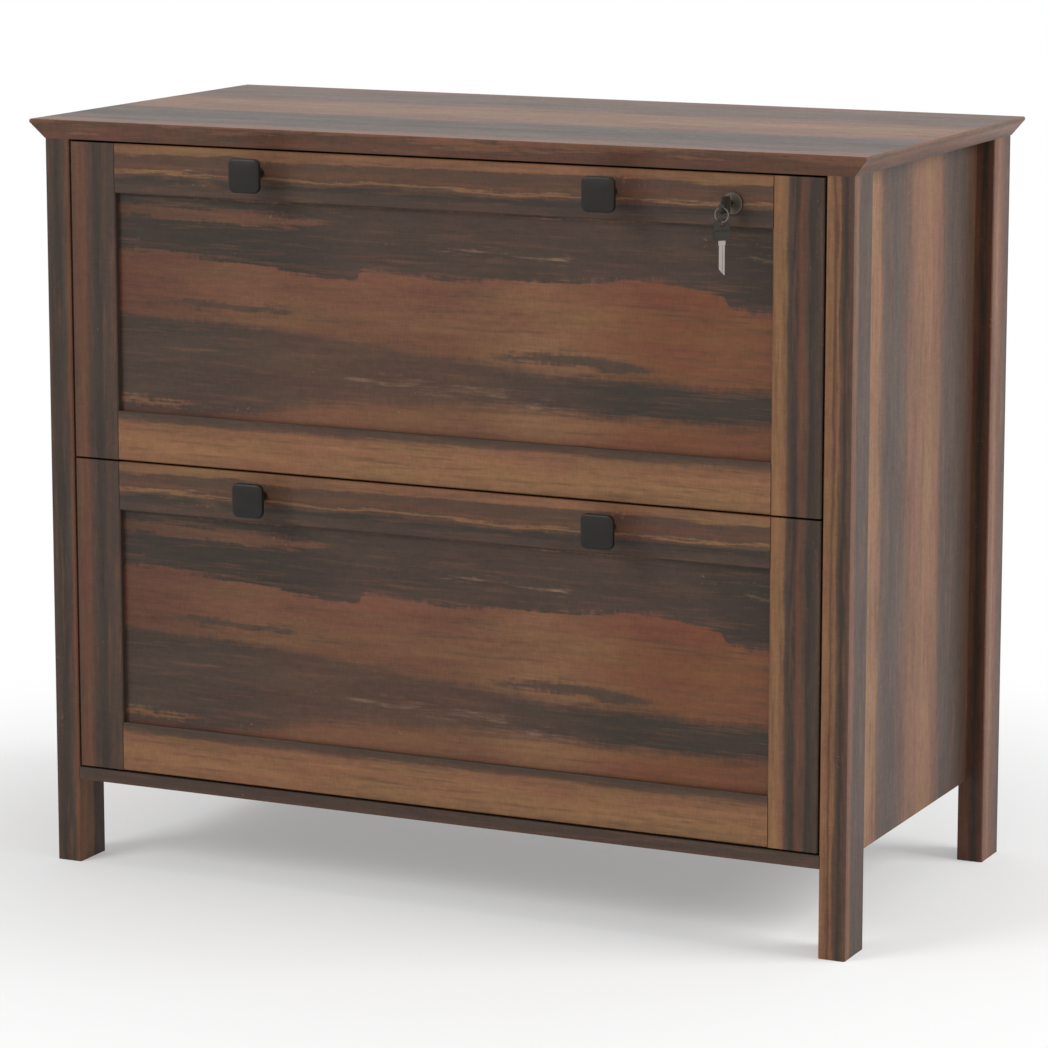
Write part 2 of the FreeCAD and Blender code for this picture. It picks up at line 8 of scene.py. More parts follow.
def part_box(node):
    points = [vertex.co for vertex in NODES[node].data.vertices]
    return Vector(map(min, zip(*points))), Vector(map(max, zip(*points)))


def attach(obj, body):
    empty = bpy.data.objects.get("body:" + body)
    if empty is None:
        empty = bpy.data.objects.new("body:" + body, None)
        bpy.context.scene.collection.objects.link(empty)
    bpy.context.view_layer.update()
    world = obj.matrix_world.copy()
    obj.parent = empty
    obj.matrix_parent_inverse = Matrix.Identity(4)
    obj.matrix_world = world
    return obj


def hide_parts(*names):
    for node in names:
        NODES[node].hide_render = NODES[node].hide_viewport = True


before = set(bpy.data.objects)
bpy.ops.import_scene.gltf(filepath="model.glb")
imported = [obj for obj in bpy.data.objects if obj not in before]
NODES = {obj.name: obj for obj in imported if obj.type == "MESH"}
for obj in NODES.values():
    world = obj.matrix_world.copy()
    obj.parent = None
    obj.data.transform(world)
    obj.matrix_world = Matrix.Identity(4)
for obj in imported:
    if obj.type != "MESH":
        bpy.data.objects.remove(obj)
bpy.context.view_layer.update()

bl_info = {
    "name": "Two-drawer lateral file cabinet",
    "version": (1, 0, 0),
    "blender": (4, 5, 0),
    "location": "3D View > Sidebar > Cabinet",
    "description": "Dresses the cabinet's frame: printed boards, knobs, slides, lock and keys",
    "category": "Object",
}

MM = 0.001
DRAWERS = ("upper", "lower")
SIDES = ("left", "right")
MERGE = 1e-6  # metres between points that are taken as one
SHARP = math.radians(40)  # an edge that turns further than this stays sharp
END_TURN = 0.3  # a face of the top that looks this far to a side belongs to the board's end

# The wood print. Features are millimetres along and across the grain.
SATIN = 0.45  # roughness of its foil
PATTERN_STEP = (1.0, 1.7, 0.6)  # way in which one pattern is moved off another
DRIFT, RAGGED, COMB = range(3)  # a board's three amounts of fray, in millimetres
DASH_START, DASH_FULL = 0.5, 0.75  # noise at which a broken run begins to show, and is whole
# Noises that move the runs of colour: amount, features along and across, detail.
FRAYS = ((DRIFT, 260.0, 60.0, 2.0), (DRIFT, 120.0, 11.0, 3.0), (RAGGED, 45.0, 4.0, 4.0),
         (COMB, 5.0, 14.0, 3.0))
# Wisps over the runs: colour, features along and across, greatest share.
WISPS = (("umber", 95.0, 6.0, 0.6), ("walnut", 80.0, 5.0, 0.45))
# Long grain, pores, saw marks, blotches and clouds: features along and across, detail, depth.
GRAINS = ((70.0, 3.6, 4.0, 0.46), (10.0, 1.3, 2.0, 0.32), (1.8, 9.0, 2.0, 0.33),
          (12.0, 6.0, 3.0, 0.4), (110.0, 18.0, 3.0, 0.6))

# The knobs. Steps of the crown: shrink of the face, and share of the rise.
CROWN_STEPS = ((0.86, 0.34), (0.82, 0.28), (0.76, 0.2), (0.66, 0.12), (0.5, 0.06))
CORNER_SEGMENTS = 8
RIM_SEGMENTS = 5
STEM_SEGMENTS = 40
STEM_SINK = 0.2 * MM  # depth of the stem's top in the head

# The key ring.
RING_STEPS = 128
RING_TURNS = 2
RING_LAYERS = 3.1  # thickness of the ring, in thicknesses of its wire
RING_MERGE = 1e-7

# The studio. Lamps: name, place, size in metres, power in watts, seen in reflections.
LAMPS = (("key_softbox", (-1.9, -2.9, 2.6), 1.6, 58.0, True),
         ("side_softbox", (3.1, 0.5, 2.2), 1.8, 75.0, False))
LAMP_AIM = Vector((0.0, 0.0, 0.35))
FLOOR_RADIUS = 9.0
FLOOR_MOTTLE = 25.0  # millimetres
CAMERA_PLACE = (1.6748, -3.5407, 1.0707)
CAMERA_DIP = 9.639  # degrees under level
CAMERA_TURN = 25.299  # degrees round from the front


def linear(code):
    """Linear RGB of an sRGB hex colour."""
    parts = [int(code[i:i + 2], 16) / 255 for i in (1, 3, 5)]
    return [c / 12.92 if c <= 0.04045 else ((c + 0.055) / 1.055) ** 2.4 for c in parts]


def length(name, description, millimetres):
    """A length that a user may change, kept in metres."""
    return bpy.props.FloatProperty(name=name, description=description, default=millimetres * MM,
                                   min=0.0, precision=4, unit="LENGTH")


def colour(name, description, code):
    """A colour that a user may change, given as its sRGB hex value."""
    return bpy.props.FloatVectorProperty(name=name, description=description, default=linear(code),
                                         size=3, min=0.0, max=1.0, subtype="COLOR")


class CabinetSizes(bpy.types.PropertyGroup):
    """Sizes of the pieces that are modelled here."""
    knob_width: length("Knob width", "Width and height of the square knob head", 31.5)
    knob_corner: length("Knob corner", "Corner radius of the knob head", 6.0)
    knob_head: length("Knob head", "Thickness of the knob head", 8.5)
    knob_rim: length("Knob rim", "Rounding round the knob's face", 2.2)
    knob_back: length("Knob back", "Rounding that draws the head in towards its stem", 4.3)
    knob_crown: length("Knob crown", "Rise of the knob's face at its middle", 0.8)
    stem_foot: length("Stem foot", "Radius of the foot that meets the rail", 5.2)
    stem: length("Stem", "Radius of the stem", 4.3)
    stem_flare: length("Stem flare", "Radius of the stem under the head", 6.6)
    bow_edge: length("Bow edge", "Rounding of the moulded key bows", 0.35)
    ring_wire: length("Ring wire", "Width of the key ring's flat wire", 0.95)
    cage_strip: length("Cage strip", "Thickness of the strip that holds a slide's balls", 0.9)
    ball_pitch: length("Ball pitch", "Spacing of the balls in their cage", 11.0)


class CabinetColours(bpy.types.PropertyGroup):
    """Colours of the print, the fittings and the stage."""
    # Charcoal also serves as the painted shade on the rear posts' front faces.
    charcoal: colour("Charcoal", "Darkest runs of the print", "#352C25")
    ash: colour("Ash", "Grey-brown runs of the print", "#44352D")
    umber: colour("Umber", "Dark brown runs of the print", "#503A2E")
    russet: colour("Russet", "Reddish runs of the print", "#5E3C2D")
    walnut: colour("Walnut", "Warm brown ground of the print", "#6E4935")
    copper: colour("Copper", "Orange-brown runs of the print", "#6D432C")
    tan: colour("Tan", "Light brown runs of the print", "#7B563C")
    honey: colour("Honey", "Lightest runs of the print", "#845E40")
    fleck: colour("Fleck", "Pale scuffs in the print", "#96795F")
    lining: colour("Lining", "Face of the drawer boxes", "#4A3D36")
    back: colour("Back", "Face of the back board", "#4B3B32")
    zinc: colour("Zinc", "Plated steel of the slides and bars", "#B9BBBE")
    steel: colour("Steel", "Polished steel of the balls", "#C9CACB")
    black: colour("Black", "Coating of the knobs", "#17120D")
    black_nickel: colour("Black nickel", "Plating of the lock", "#5C544D")
    nickel: colour("Nickel", "Plating of the keys", "#A9A099")
    wire: colour("Wire", "Plating of the key ring", "#77716B")
    bow: colour("Bow", "Moulding on the keys", "#342F2A")
    floor: colour("Floor", "Studio floor", "#FAFAFA")


def add(tree, kind, links=None, **settings):
    """Add a node with its settings; each input gets a link or a value."""
    made = tree.nodes.new(kind)
    for key, value in settings.items():
        setattr(made, key, value)
    for key, value in (links or {}).items():
        if isinstance(value, bpy.types.NodeSocket):
            tree.links.new(value, made.inputs[key])
        else:
            made.inputs[key].default_value = value
    return made


def new_material(name):
    """An empty node material and its tree."""
    made = bpy.data.materials.new(name)
    made.use_nodes = True
    made.node_tree.nodes.clear()
    return made, made.node_tree


def finish_surface(tree, links):
    """Close a material with its surface shader."""
    surface = add(tree, "ShaderNodeBsdfPrincipled", links)
    add(tree, "ShaderNodeOutputMaterial", {"Surface": surface.outputs[0]})


def dye(name):
    """One of the cabinet's colours, with full alpha."""
    return (*getattr(bpy.context.scene.cabinet_colours, name), 1.0)


def fill_ramp(ramp, stops):
    """Put named colours on a colour ramp; stops are (place from 0 to 1, colour name)."""
    band = ramp.color_ramp
    band.interpolation = "EASE"
    while len(band.elements) < len(stops):
        band.elements.new(1.0)
    for element, (place, name) in zip(band.elements, stops):
        element.position = place
        element.color = dye(name)


def fill_curve(node, points):
    """Draw a float curve in straight pieces through points, in order from 0 to 1."""
    curve = node.mapping.curves[0]
    curve.points[0].location = points[0]
    curve.points[1].location = points[-1]
    for point in points[1:-1]:
        curve.points.new(*point)
    for point in curve.points:
        point.handle_type = "VECTOR"
    node.mapping.update()


def figure(tree, grain, along, across, shift, detail=3.0, roughness=0.6):
    """Noise drawn out along the grain; along and across are its features in millimetres."""
    scale = (1 / (along * MM), 1 / (across * MM), 1 / (across * MM))
    place = [shift * part for part in PATTERN_STEP]
    laid = add(tree, "ShaderNodeMapping", {"Vector": grain, "Location": place, "Scale": scale})
    noise = add(tree, "ShaderNodeTexNoise", {"Vector": laid.outputs[0], "Scale": 1.0,
                                             "Detail": detail, "Roughness": roughness})
    return noise.outputs[0]


def print_space(tree, along, across, wrap=False, repeat=None, mirror=False):
    """Where a point lies on the print: along the grain, across it, and all of it as a vector."""
    place = add(tree, "ShaderNodeTexCoord").outputs["Object"]
    axes = add(tree, "ShaderNodeSeparateXYZ", {"Vector": place}).outputs
    spot = {name: axes[name] for name in "XYZ"}
    if mirror:
        spot["X"] = add(tree, "ShaderNodeMath", {0: spot["X"]}, operation="ABSOLUTE").outputs[0]
    if repeat:
        start, pitch = repeat
        lowered = add(tree, "ShaderNodeMath", {0: spot["Z"], 1: start}, operation="SUBTRACT")
        spot["Z"] = add(tree, "ShaderNodeMath", {0: lowered.outputs[0], 1: pitch, 2: 0.0},
                        operation="WRAP").outputs[0]
    into = next(name for name in "XYZ" if name not in (along, across))
    over = spot[across]
    if wrap:
        over = add(tree, "ShaderNodeMath", {0: over, 1: spot[into]}, operation="ADD").outputs[0]
    grain = add(tree, "ShaderNodeCombineXYZ",
                {"X": spot[along], "Y": spot[across], "Z": spot[into]})
    return spot[along], over, grain.outputs[0]


def wander(tree, over, grain, shift, fray):
    """Move the place across the grain, so that the print's runs drift and their edges fray."""
    for amount, along, across, detail in FRAYS:
        size = fray[amount] * MM
        noise = figure(tree, grain, along, across, shift + along, detail)
        moved = add(tree, "ShaderNodeMath", {0: noise, 1: size * 2, 2: -size},
                    operation="MULTIPLY_ADD")
        over = add(tree, "ShaderNodeMath", {0: over, 1: moved.outputs[0]},
                   operation="ADD").outputs[0]
    return over


def lay_run(tree, below, u, v, dashes, low, high, dyes, soft, strength=1.0, broken=False):
    """Lay a run of another colour between two edges; a broken one shows in dashes."""
    masks = []
    for points, side in ((low, 1.0), (high, -1.0)):
        edge = add(tree, "ShaderNodeFloatCurve", {"Value": u})
        fill_curve(edge, points)
        gap = add(tree, "ShaderNodeMath", {0: v, 1: edge.outputs[0]}, operation="SUBTRACT")
        mask = add(tree, "ShaderNodeMapRange", {"Value": gap.outputs[0], "From Min": -soft * side,
                                                "From Max": soft * side},
                   interpolation_type="SMOOTHSTEP")
        masks.append(mask.outputs[0])
    inside = add(tree, "ShaderNodeMath", {0: masks[0], 1: masks[1]}, operation="MULTIPLY")
    share = add(tree, "ShaderNodeMath", {0: inside.outputs[0], 1: strength}, operation="MULTIPLY")
    if broken:
        shown = add(tree, "ShaderNodeMapRange", {"Value": dashes, "From Min": DASH_START,
                                                 "From Max": DASH_FULL})
        share = add(tree, "ShaderNodeMath", {0: share.outputs[0], 1: shown.outputs[0]},
                    operation="MULTIPLY")
    tint = add(tree, "ShaderNodeValToRGB", {"Fac": u})
    fill_ramp(tint, dyes)
    return add(tree, "ShaderNodeMix", {0: share.outputs[0], 6: below, 7: tint.outputs[0]},
               data_type="RGBA").outputs[2]


def print_surface(tree, ground, grain, shift, rough=SATIN):
    """Wisps, grain, saw marks and scuffs of the print over its coloured ground, under a foil."""
    for dyed, along, across, share in WISPS:
        wisp = figure(tree, grain, along, across, shift + along, detail=5.0, roughness=0.62)
        mask = add(tree, "ShaderNodeMapRange", {"Value": wisp, "From Min": 0.54, "From Max": 0.7,
                                                "To Max": share})
        ground = add(tree, "ShaderNodeMix", {0: mask.outputs[0], 6: ground, 7: dye(dyed)},
                     data_type="RGBA").outputs[2]
    shade = 0.0
    for along, across, detail, depth in GRAINS:
        noise = figure(tree, grain, along, across, shift + across, detail)
        part = add(tree, "ShaderNodeMath", {0: noise, 1: depth, 2: -depth / 2},
                   operation="MULTIPLY_ADD")
        shade = add(tree, "ShaderNodeMath", {0: part.outputs[0], 1: shade},
                    operation="ADD").outputs[0]
    value = add(tree, "ShaderNodeMath", {0: shade, 1: 1.0}, operation="ADD")
    cloud = figure(tree, grain, along=110.0, across=20.0, shift=shift + 7.7)
    hue = add(tree, "ShaderNodeMapRange", {"Value": cloud, "From Min": 0.25, "From Max": 0.75,
                                           "To Min": 0.486, "To Max": 0.514})
    grained = add(tree, "ShaderNodeHueSaturation", {"Hue": hue.outputs[0], "Value": value.outputs[0],
                                                    "Color": ground})
    # Pale scuffs come in patches, where a speckle and a broader noise are both high.
    speckle = figure(tree, grain, along=3.0, across=3.2, shift=shift + 12.0)
    patch = figure(tree, grain, along=70.0, across=9.0, shift=shift + 15.0, detail=2.0, roughness=0.5)
    both = add(tree, "ShaderNodeMath", {0: speckle, 1: patch}, operation="MULTIPLY")
    worn = add(tree, "ShaderNodeMapRange", {"Value": both.outputs[0], "From Min": 0.42,
                                            "From Max": 0.54, "To Max": 0.45})
    scuffed = add(tree, "ShaderNodeMix", {0: worn.outputs[0], 6: grained.outputs[0], 7: dye("fleck")},
                  data_type="RGBA")
    relief = add(tree, "ShaderNodeBump", {"Height": shade, "Strength": 0.25, "Distance": 0.25 * MM})
    sheen = add(tree, "ShaderNodeMapRange", {"Value": shade, "From Min": -0.3, "From Max": 0.3,
                                             "To Min": rough + 0.06, "To Max": rough - 0.06})
    finish_surface(tree, {"Base Color": scuffed.outputs[2], "Roughness": sheen.outputs[0],
                          "IOR": 1.45, "Specular IOR Level": 0.3, "Normal": relief.outputs[0]})


def striped_board(place, along, across, shift, fray, stops, wrap=False, repeat=None, mirror=False,
                  rough=SATIN):
    """A board whose print has straight runs; stops are (millimetres across the grain, colour)."""
    made, tree = new_material("reclaimed-wood print foil on " + place + ", satin")
    over, grain = print_space(tree, along, across, wrap, repeat, mirror)[1:]
    over = wander(tree, over, grain, shift, fray)
    start, end = stops[0][0] * MM, stops[-1][0] * MM
    spot = add(tree, "ShaderNodeMapRange", {"Value": over, "From Min": start, "From Max": end})
    tint = add(tree, "ShaderNodeValToRGB", {"Fac": spot.outputs[0]})
    fill_ramp(tint, [((mm * MM - start) / (end - start), dyed) for mm, dyed in stops])
    print_surface(tree, tint.outputs[0], grain, shift, rough)
    return made


def plain_board(name, dyed, shift):
    """A plain board face with a fine, even grain along the cabinet's width."""
    made, tree = new_material(name)
    grain = print_space(tree, "X", "Z")[2]
    broad = figure(tree, grain, along=260.0, across=14.0, shift=shift)
    fine = figure(tree, grain, along=30.0, across=1.4, shift=shift + 3.0, detail=2.0, roughness=0.5)
    both = add(tree, "ShaderNodeMath", {0: broad, 1: fine}, operation="ADD")
    value = add(tree, "ShaderNodeMapRange", {"Value": both.outputs[0], "From Min": 0.6,
                                             "From Max": 1.4, "To Min": 0.78, "To Max": 1.22})
    tinted = add(tree, "ShaderNodeHueSaturation", {"Value": value.outputs[0], "Color": dye(dyed)})
    relief = add(tree, "ShaderNodeBump", {"Height": fine, "Strength": 0.2, "Distance": 0.2 * MM})
    finish_surface(tree, {"Base Color": tinted.outputs[0], "Roughness": 0.55, "IOR": 1.45,
                          "Normal": relief.outputs[0]})
    return made


def plated(name, dyed, rough, contrast, along):
    """Plated metal with fine drawing lines along an axis, and faint clouding."""
    made, tree = new_material(name)
    grain = print_space(tree, along, "Z" if along != "Z" else "X")[2]
    lines = figure(tree, grain, along=25.0, across=0.35, shift=5.0, detail=2.0, roughness=0.5)
    cloud = figure(tree, grain, along=14.0, across=9.0, shift=8.0)
    swing = 0.12 * contrast
    value = add(tree, "ShaderNodeMapRange", {"Value": cloud, "From Min": 0.25, "From Max": 0.75,
                                             "To Min": 1.0 - swing, "To Max": 1.0 + swing})
    tinted = add(tree, "ShaderNodeHueSaturation", {"Value": value.outputs[0], "Color": dye(dyed)})
    gloss = add(tree, "ShaderNodeMapRange", {"Value": lines, "From Min": 0.3, "From Max": 0.7,
                                             "To Min": rough - 0.07, "To Max": rough + 0.07})
    relief = add(tree, "ShaderNodeBump", {"Height": lines, "Strength": 0.08, "Distance": 0.05 * MM})
    finish_surface(tree, {"Base Color": tinted.outputs[0], "Metallic": 1.0,
                          "Roughness": gloss.outputs[0], "Normal": relief.outputs[0]})
    return made


def coated(name, dyed, rough, grit, cloud=12.0):
    """Black coating or moulding with a fine grit and faint clouds, both in millimetres."""
    made, tree = new_material(name)
    place = add(tree, "ShaderNodeTexCoord").outputs["Object"]
    fine = add(tree, "ShaderNodeTexNoise", {"Vector": place, "Scale": 1 / (grit * MM), "Detail": 3.0})
    broad = add(tree, "ShaderNodeTexNoise", {"Vector": place, "Scale": 1 / (cloud * MM),
                                             "Detail": 2.0})
    value = add(tree, "ShaderNodeMapRange", {"Value": broad.outputs[0], "From Min": 0.3,
                                             "From Max": 0.7, "To Min": 0.85, "To Max": 1.15})
    tinted = add(tree, "ShaderNodeHueSaturation", {"Value": value.outputs[0], "Color": dye(dyed)})
    gloss = add(tree, "ShaderNodeMapRange", {"Value": fine.outputs[0], "From Min": 0.3,
                                             "From Max": 0.7, "To Min": rough - 0.05,
                                             "To Max": rough + 0.05})
    relief = add(tree, "ShaderNodeBump", {"Height": fine.outputs[0], "Strength": 0.15,
                                          "Distance": 0.1 * MM})
    finish_surface(tree, {"Base Color": tinted.outputs[0], "Roughness": gloss.outputs[0],
                          "IOR": 1.5, "Specular IOR Level": 0.3, "Normal": relief.outputs[0]})
    return made


def on_both(piece):
    """A piece's node names on the two drawers."""
    return [drawer + "_" + piece for drawer in DRAWERS]


def dress(material, *names):
    """Give CAD nodes a material."""
    for name in names:
        data = NODES[name].data
        data.materials.clear()
        data.materials.append(material)


# Particle board wrapped in printed decor foil: reclaimed-wood runs with a low satin sheen.
CARCASS_PRINTS = (
    # Wide dark and brown runs along the top, with fine lines along its front edge.
    (["top_panel"], dict(
        place="top board", along="X", across="Y", wrap=True, shift=11.0, fray=(14.0, 14.0, 2.0),
        rough=0.46,
        stops=((499, "umber"), (504, "russet"), (509, "umber"), (512, "walnut"), (516, "walnut"),
               (533, "walnut"), (552, "ash"), (575, "umber"), (600, "charcoal"), (655, "ash"),
               (680, "walnut"), (745, "tan"), (790, "walnut"), (812, "umber"), (850, "umber"),
               (885, "umber"), (935, "walnut")))),
    # Dark left post, with one light brown run up it.
    (["front_post_left"], dict(
        place="left post", along="Z", across="X", wrap=True, shift=21.0, fray=(3.0, 3.0, 0.5),
        stops=((-589, "ash"), (-578, "charcoal"), (-571, "ash"), (-568, "russet"),
               (-563, "walnut"), (-558, "tan"), (-543, "tan"), (-538, "ash"), (-519, "ash")))),
    # Narrow light and dark lines up the right post, grey-brown round its corner.
    (["front_post_right"], dict(
        place="right post", along="Z", across="X", wrap=True, shift=23.0, fray=(3.0, 3.0, 0.5),
        stops=((186, "honey"), (192, "tan"), (195, "russet"), (198, "tan"), (201, "umber"),
               (205, "charcoal"), (210, "umber"), (214, "russet"), (220, "walnut"), (228, "ash"),
               (256, "ash")))),
    # Reddish rear posts with a light line; the dark line on their front faces is painted shade.
    (["rear_post_left", "rear_post_right"], dict(
        place="rear posts", along="Z", across="X", wrap=True, mirror=True, shift=27.0,
        fray=(3.0, 3.0, 0.5),
        # The charcoal stop at 565 lies on the posts' front faces: painted shade beside the recessed
        # side boards.
        stops=((549, "russet"), (558, "russet"), (565, "charcoal"), (573, "russet"),
               (577, "russet"), (584, "walnut"), (588, "tan"), (592, "walnut"), (600, "russet"),
               (610, "umber"), (620, "ash")))),
    # Broad light and dark runs up the sides, with rippled edges.
    (["side_panel_left", "side_panel_right"], dict(
        place="side boards", along="Z", across="Y", shift=31.0, fray=(9.0, 9.0, 2.5),
        stops=((-150, "tan"), (-120, "honey"), (-94, "honey"), (-80, "tan"), (-66, "umber"),
               (-50, "ash"), (-34, "ash"), (-14, "umber"), (10, "walnut"), (48, "tan"),
               (76, "walnut"), (90, "umber"), (100, "ash"), (146, "ash"), (178, "umber")))),
    # A dark brown edge under the drawers.
    (["bottom_panel"], dict(
        place="bottom board", along="X", across="Z", shift=35.0, fray=(2.0, 2.0, 0.5),
        stops=((81, "umber"), (86, "ash"), (93, "ash")))),
)
# Fine brown lines along the ends of the top.
TOP_ENDS = dict(
    place="top board ends", along="Y", across="Z", shift=13.0, fray=(2.0, 2.0, 0.5),
    stops=((690, "umber"), (696, "russet"), (701, "walnut"), (704, "umber"), (708, "walnut")))


class CABINET_OT_carcass(bpy.types.Operator):
    """Give the top, posts, sides, bottom and back their printed faces"""
    bl_idname = "cabinet.carcass"
    bl_label = "Carcass boards"

    def execute(self, context):
        for nodes, board in CARCASS_PRINTS:
            dress(striped_board(**board), *nodes)
        top = NODES["top_panel"].data
        top.materials.append(striped_board(**TOP_ENDS))
        for face in top.polygons:
            if abs(face.normal.x) > END_TURN:
                face.material_index = 1
        # Fibreboard with a printed face: dull dark brown with a faint straight grain.
        dress(plain_board("dark printed fibreboard, matt", "back", shift=41.0), "back_panel")
        return {"FINISHED"}


# The fronts' frames, in the same foil; places up the front count from its lower edge.
FRONT_PRINTS = (
    # Dark top rails with a thin light line, lighter along the upper edge.
    (on_both("top_rail"), dict(
        place="top rails", along="X", across="Z", shift=51.0, fray=(4.0, 6.0, 1.0),
        stops=((249, "ash"), (256, "ash"), (263, "charcoal"), (267, "umber"), (269, "tan"),
               (271, "umber"), (275, "russet"), (278, "umber"), (284, "umber"), (288, "tan"),
               (296, "tan")))),
    # Honey-brown bottom rails, dark beside the panel.
    (on_both("bottom_rail"), dict(
        place="bottom rails", along="X", across="Z", shift=53.0, fray=(3.0, 4.0, 1.0),
        stops=((0, "tan"), (12, "honey"), (26, "honey"), (36, "tan"), (41, "umber"),
               (46, "ash")))),
    # Dark left stiles with a reddish run.
    (on_both("stile_left"), dict(
        place="left stiles", along="Z", across="X", shift=57.0, fray=(3.0, 2.0, 0.5),
        stops=((-374, "umber"), (-366, "russet"), (-361, "russet"), (-355, "ash"),
               (-346, "charcoal"), (-338, "ash"), (-327, "ash")))),
    # Right stiles, honey brown beside the panel and striped dark beside the post.
    (on_both("stile_right"), dict(
        place="right stiles", along="Z", across="X", shift=59.0, fray=(3.0, 2.0, 0.5),
        stops=((327, "tan"), (334, "honey"), (340, "tan"), (344, "ash"), (349, "charcoal"),
               (354, "russet"), (359, "umber"), (363, "charcoal"), (374, "ash")))),
)

# The panel in a front: millimetres from the front's lower edge, and its tongue in the stiles.
PANEL_TOP, PANEL_BOTTOM, PANEL_TONGUE = 249.5, 46.0, 8.0
PANEL_SHIFT = 3.0
PANEL_FRAY = (3.0, 9.0, 4.0)
PANEL_GROUND = ((0.0, "russet"), (0.25, "walnut"), (0.5, "walnut"), (0.66, "tan"),
                (0.85, "copper"), (1.0, "copper"))
# Runs over the ground. Edges are (share of the width from the left, share of the height from the
# top). A run shows between its low and its high edge, and not where the low one is the greater.
PANEL_RUNS = (
    # Dark run under the top rail.
    dict(low=((0.0, -0.1), (1.0, -0.1)),
         high=((0.0, 0.25), (0.1, 0.258), (0.15, 0.28), (0.24, 0.295), (0.3, 0.325),
               (0.375, 0.33), (0.39, 0.285), (0.48, 0.297), (0.52, 0.31), (0.6, 0.305),
               (0.7, 0.285), (0.78, 0.262), (0.84, 0.255), (0.9, 0.28), (0.925, 0.3),
               (0.94, 0.36), (1.0, 0.37)),
         dyes=((0.0, "charcoal"), (0.25, "charcoal"), (0.4, "ash"), (0.65, "ash"), (0.85, "ash"),
               (1.0, "charcoal")), soft=0.012),
    # Reddish streak that lies in it on the left.
    dict(low=((0.0, 0.045), (0.2, 0.05), (0.3, 0.07), (0.36, 0.09), (1.0, 0.1)),
         high=((0.0, 0.095), (0.2, 0.12), (0.27, 0.125), (0.31, 0.1), (0.36, 0.085), (1.0, 0.05)),
         dyes=((0.0, "russet"), (0.15, "walnut"), (1.0, "russet")), soft=0.012, strength=0.65),
    # Pale worn streaks in the dark run.
    dict(low=((0.0, 0.2), (0.46, 0.2), (0.52, 0.175), (0.62, 0.155), (0.69, 0.165), (0.72, 0.2),
              (0.92, 0.16), (1.0, 0.1)),
         high=((0.0, 0.16), (0.46, 0.17), (0.52, 0.2), (0.62, 0.2), (0.69, 0.205), (0.72, 0.17),
               (0.92, 0.13), (1.0, 0.15)),
         dyes=((0.0, "fleck"), (1.0, "fleck")), soft=0.016, strength=0.7, broken=True),
    # Short smudge in the brown ground, left of the middle.
    dict(low=((0.0, 0.5), (0.08, 0.475), (0.12, 0.46), (0.2, 0.468), (0.27, 0.478), (0.3, 0.51),
              (1.0, 0.52)),
         high=((0.0, 0.47), (0.08, 0.48), (0.14, 0.502), (0.27, 0.505), (0.29, 0.485),
               (0.3, 0.48), (1.0, 0.47)),
         dyes=((0.0, "ash"), (1.0, "ash")), soft=0.012, strength=0.85),
    # Fainter marks right of it.
    dict(low=((0.0, 0.5), (0.44, 0.5), (0.47, 0.42), (0.63, 0.41), (0.66, 0.5), (1.0, 0.5)),
         high=((0.0, 0.45), (0.44, 0.45), (0.47, 0.46), (0.63, 0.46), (0.66, 0.45), (1.0, 0.45)),
         dyes=((0.0, "umber"), (1.0, "umber")), soft=0.012, strength=0.7, broken=True),
    # Wide dark run above the bottom rail.
    dict(low=((0.0, 0.55), (0.08, 0.56), (0.2, 0.565), (0.28, 0.58), (0.34, 0.61), (0.42, 0.625),
              (0.5, 0.65), (0.6, 0.67), (0.7, 0.695), (0.76, 0.69), (0.84, 0.695), (0.9, 0.715),
              (1.0, 0.7)),
         high=((0.0, 1.0), (0.12, 1.0), (0.22, 0.98), (0.28, 0.93), (0.35, 0.885), (0.48, 0.87),
               (0.6, 0.86), (0.68, 0.855), (0.78, 0.87), (0.88, 0.87), (1.0, 0.86)),
         dyes=((0.0, "ash"), (0.16, "ash"), (0.3, "umber"), (0.52, "umber"), (0.68, "ash"),
               (0.8, "charcoal"), (1.0, "charcoal")), soft=0.034),
    # Its darker upper edge on the left.
    dict(low=((0.0, 0.55), (0.08, 0.56), (0.2, 0.57), (0.28, 0.6), (0.36, 0.66), (1.0, 0.7)),
         high=((0.0, 0.63), (0.08, 0.64), (0.2, 0.625), (0.28, 0.615), (0.36, 0.64), (1.0, 0.6)),
         dyes=((0.0, "charcoal"), (1.0, "ash")), soft=0.014, strength=0.45),
    # Loose wisp over its right half.
    dict(low=((0.0, 0.67), (0.56, 0.66), (0.6, 0.62), (0.7, 0.6), (0.78, 0.615), (0.84, 0.655),
              (1.0, 0.69)),
         high=((0.0, 0.63), (0.56, 0.635), (0.62, 0.65), (0.72, 0.655), (0.8, 0.67), (0.84, 0.65),
               (1.0, 0.63)),
         dyes=((0.0, "ash"), (1.0, "ash")), soft=0.014, strength=0.9),
    # Light streak in its lower left corner.
    dict(low=((0.0, 0.925), (0.06, 0.935), (0.14, 0.955), (1.0, 0.99)),
         high=((0.0, 0.955), (0.08, 0.965), (0.14, 0.95), (1.0, 0.9)),
         dyes=((0.0, "tan"), (1.0, "tan")), soft=0.012, strength=0.8),
    # Pale worn streaks in the wide run.
    dict(low=((0.0, 0.9), (0.34, 0.8), (0.38, 0.74), (0.5, 0.75), (0.6, 0.79), (0.67, 0.81),
              (0.72, 0.85), (1.0, 0.9)),
         high=((0.0, 0.8), (0.34, 0.78), (0.38, 0.8), (0.5, 0.82), (0.6, 0.85), (0.67, 0.86),
               (0.72, 0.83), (1.0, 0.8)),
         dyes=((0.0, "fleck"), (1.0, "fleck")), soft=0.018, strength=0.5, broken=True),
)


